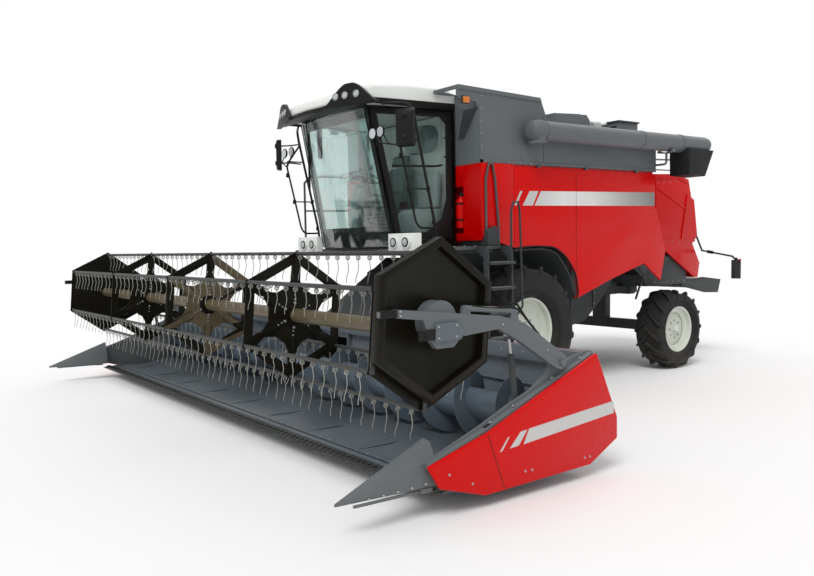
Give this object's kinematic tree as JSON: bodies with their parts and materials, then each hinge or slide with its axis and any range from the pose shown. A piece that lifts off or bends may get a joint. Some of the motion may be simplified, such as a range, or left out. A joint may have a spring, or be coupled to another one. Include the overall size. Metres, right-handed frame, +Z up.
{
  "type": "combine harvester with a reel header",
  "caption": "Combine harvester with cab, grain tank, unloading auger, feeder house and a wide cutting header with auger and tined reel, on large front drive wheels and steered rear wheels.",
  "frame": {"origin": "middle of the footprint on the ground", "axes": "-Y to the front, +X to the driver's left where the ladder is, +Z up"},
  "size_m": [7.98, 9.93, 3.88],
  "materials": {
    "tyre_rubber": "matt",
    "rim_paint": "satin",
    "red_paint": "gloss",
    "grey_paint": "satin",
    "dark_grey_paint": "satin",
    "black_paint": "satin",
    "off_white_paint": "satin",
    "cab_glass": "clear",
    "seat_cloth": "matt",
    "engine_paint": "matt",
    "bare_steel": "brushed"
  },
  "bodies": {
    "machine": {"separator_body": "dark_grey_paint", "front_axle": "dark_grey_paint", "rear_axle": "dark_grey_paint", "front_bulkhead": "red_paint", "rear_hood": "red_paint", "straw_chopper": "dark_grey_paint", "grain_tank": "grey_paint", "engine": "engine_paint", "cab_frame": "black_paint", "cab_windows": "cab_glass", "cab_roof": "off_white_paint", "roof_lamp_panel": "black_paint", "seat": "seat_cloth", "platform": "dark_grey_paint", "ladder": "dark_grey_paint"},
    "front_wheel_left": {"front_tyre_left": "tyre_rubber", "front_rim_left": "rim_paint"},
    "front_wheel_right": {"front_tyre_right": "tyre_rubber", "front_rim_right": "rim_paint"},
    "knuckle_left": {"knuckle_left": "dark_grey_paint"},
    "knuckle_right": {"knuckle_right": "dark_grey_paint"},
    "rear_wheel_left": {"rear_tyre_left": "tyre_rubber", "rear_rim_left": "rim_paint"},
    "rear_wheel_right": {"rear_tyre_right": "tyre_rubber", "rear_rim_right": "rim_paint"},
    "header": {"feeder_house": "dark_grey_paint", "header_table": "grey_paint", "header_end_cover_left": "red_paint", "header_end_cover_right": "red_paint", "divider_side_left": "grey_paint", "divider_side_right": "grey_paint", "knife_bar": "bare_steel"},
    "auger": {"header_auger": "grey_paint"},
    "header_lift_barrels": {"header_lift_barrel_left": "dark_grey_paint", "header_lift_barrel_right": "dark_grey_paint"},
    "header_lift_rods": {"header_lift_rod_left": "bare_steel", "header_lift_rod_right": "bare_steel"},
    "reel_arms": {"reel_arm_left": "grey_paint", "reel_arm_right": "grey_paint"},
    "reel_lift_barrels": {"reel_lift_barrel_left": "dark_grey_paint", "reel_lift_barrel_right": "dark_grey_paint"},
    "reel_lift_rods": {"reel_lift_rod_left": "bare_steel", "reel_lift_rod_right": "bare_steel"},
    "reel": {"reel_frame": "black_paint"},
    "reel_control_plate": {"reel_control_plate": "black_paint"},
    "unloading_auger": {"unloading_tube": "grey_paint", "unloading_spout": "black_paint"},
    "cab_door": {"cab_door": "black_paint", "door_glass": "cab_glass"},
    "side_panel_left": {"side_panel_left": "red_paint"},
    "side_panel_right": {"side_panel_right": "red_paint"},
    "tine_bar_1": {"tine_bar_1": "black_paint"},
    "tine_bar_2": {"tine_bar_2": "black_paint"},
    "tine_bar_3": {"tine_bar_3": "black_paint"},
    "tine_bar_4": {"tine_bar_4": "black_paint"},
    "tine_bar_5": {"tine_bar_5": "black_paint"},
    "tine_bar_6": {"tine_bar_6": "black_paint"}
  },
  "joints": [
    {"name": "front_wheel_left_roll", "type": "hinge", "parent": "machine", "child": "front_wheel_left", "pos_m": [1.17, -0.285, 0.845], "axis": [1, 0, 0], "continuous": true},
    {"name": "front_wheel_right_roll", "type": "hinge", "parent": "machine", "child": "front_wheel_right", "pos_m": [-1.17, -0.285, 0.845], "axis": [1, 0, 0], "continuous": true},
    {"name": "steer_left", "type": "hinge", "parent": "machine", "child": "knuckle_left", "pos_m": [0.86, 3.065, 0.595], "axis": [0, 0, 1], "range_deg": [-30, 30]},
    {"name": "steer_right", "type": "hinge", "parent": "machine", "child": "knuckle_right", "pos_m": [-0.86, 3.065, 0.595], "axis": [0, 0, 1], "range_deg": [-30.5, 30.5]},
    {"name": "rear_wheel_left_roll", "type": "hinge", "parent": "knuckle_left", "child": "rear_wheel_left", "pos_m": [1.2, 3.065, 0.595], "axis": [1, 0, 0], "continuous": true},
    {"name": "rear_wheel_right_roll", "type": "hinge", "parent": "knuckle_right", "child": "rear_wheel_right", "pos_m": [-1.2, 3.065, 0.595], "axis": [1, 0, 0], "continuous": true},
    {"name": "header_raise", "type": "hinge", "parent": "machine", "child": "header", "pos_m": [0, -0.905, 1.62], "axis": [-1, 0, 0], "range_deg": [-1, 20]},
    {"name": "header_lift_tilt", "type": "hinge", "parent": "machine", "child": "header_lift_barrels", "pos_m": [0, -0.445, 0.6], "axis": [-1, 0, 0], "range_deg": [-1.05, 13.42]},
    {"name": "header_lift_slide", "type": "slide", "parent": "header_lift_barrels", "child": "header_lift_rods", "axis": [0, -0.9965, -0.0837], "range_m": [-0.0216, 0.3568]},
    {"name": "auger_turn", "type": "hinge", "parent": "header", "child": "auger", "pos_m": [0, -2.845, 0.52], "axis": [1, 0, 0], "continuous": true},
    {"name": "reel_raise", "type": "hinge", "parent": "header", "child": "reel_arms", "pos_m": [0, -2.813, 1.011], "axis": [-1, 0, 0], "range_deg": [-8, 25]},
    {"name": "reel_lift_tilt", "type": "hinge", "parent": "header", "child": "reel_lift_barrels", "pos_m": [0, -3.215, 0.7], "axis": [-1, 0, 0], "range_deg": [-4.73, 13.94]},
    {"name": "reel_lift_slide", "type": "slide", "parent": "reel_lift_barrels", "child": "reel_lift_rods", "axis": [0, -0.1219, 0.9925], "range_m": [-0.0616, 0.184]},
    {"name": "reel_turn", "type": "hinge", "parent": "reel_arms", "child": "reel", "pos_m": [0, -4.065, 1.349], "axis": [1, 0, 0], "continuous": true},
    {"name": "reel_control_turn", "type": "hinge", "parent": "reel_arms", "child": "reel_control_plate", "pos_m": [0, -4.065, 1.436], "axis": [1, 0, 0], "continuous": true},
    {"name": "tine_bar_1_turn", "type": "hinge", "parent": "reel", "child": "tine_bar_1", "pos_m": [0, -4.0125, 1.9256], "axis": [1, 0, 0], "continuous": true},
    {"name": "tine_bar_2_turn", "type": "hinge", "parent": "reel", "child": "tine_bar_2", "pos_m": [0, -4.5381, 1.6828], "axis": [1, 0, 0], "continuous": true},
    {"name": "tine_bar_3_turn", "type": "hinge", "parent": "reel", "child": "tine_bar_3", "pos_m": [0, -4.5906, 1.1061], "axis": [1, 0, 0], "continuous": true},
    {"name": "tine_bar_4_turn", "type": "hinge", "parent": "reel", "child": "tine_bar_4", "pos_m": [0, -4.1175, 0.7724], "axis": [1, 0, 0], "continuous": true},
    {"name": "tine_bar_5_turn", "type": "hinge", "parent": "reel", "child": "tine_bar_5", "pos_m": [0, -3.5919, 1.0152], "axis": [1, 0, 0], "continuous": true},
    {"name": "tine_bar_6_turn", "type": "hinge", "parent": "reel", "child": "tine_bar_6", "pos_m": [0, -3.5394, 1.5919], "axis": [1, 0, 0], "continuous": true},
    {"name": "unloading_swing", "type": "hinge", "parent": "machine", "child": "unloading_auger", "pos_m": [1.53, -0.265, 3.345], "axis": [0, 0, -1], "range_deg": [0, 100]},
    {"name": "cab_door_swing", "type": "hinge", "parent": "machine", "child": "cab_door", "pos_m": [0.918, -1.123, 2.8], "axis": [0, 0, 1], "range_deg": [0, 80]},
    {"name": "side_panel_left_lift", "type": "hinge", "parent": "machine", "child": "side_panel_left", "pos_m": [1.375, 1.115, 2.925], "axis": [0, -1, 0], "range_deg": [0, 75]},
    {"name": "side_panel_right_lift", "type": "hinge", "parent": "machine", "child": "side_panel_right", "pos_m": [-1.375, 1.115, 2.925], "axis": [0, 1, 0], "range_deg": [0, 75]}
  ],
  "couplings": [
    {"joint": "steer_right", "follows": "steer_left", "ratio": 1},
    {"joint": "header_lift_tilt", "follows": "header_raise", "ratio": 0.6509},
    {"joint": "header_lift_slide", "follows": "header_raise", "m_per_rad": 1.0108},
    {"joint": "reel_lift_tilt", "follows": "reel_raise", "ratio": 0.5417},
    {"joint": "reel_lift_slide", "follows": "reel_raise", "m_per_rad": 0.4125},
    {"joint": "reel_control_turn", "follows": "reel_turn", "ratio": 1},
    {"joint": "tine_bar_1_turn", "follows": "reel_turn", "ratio": -1},
    {"joint": "tine_bar_2_turn", "follows": "reel_turn", "ratio": -1},
    {"joint": "tine_bar_3_turn", "follows": "reel_turn", "ratio": -1},
    {"joint": "tine_bar_4_turn", "follows": "reel_turn", "ratio": -1},
    {"joint": "tine_bar_5_turn", "follows": "reel_turn", "ratio": -1},
    {"joint": "tine_bar_6_turn", "follows": "reel_turn", "ratio": -1}
  ]
}
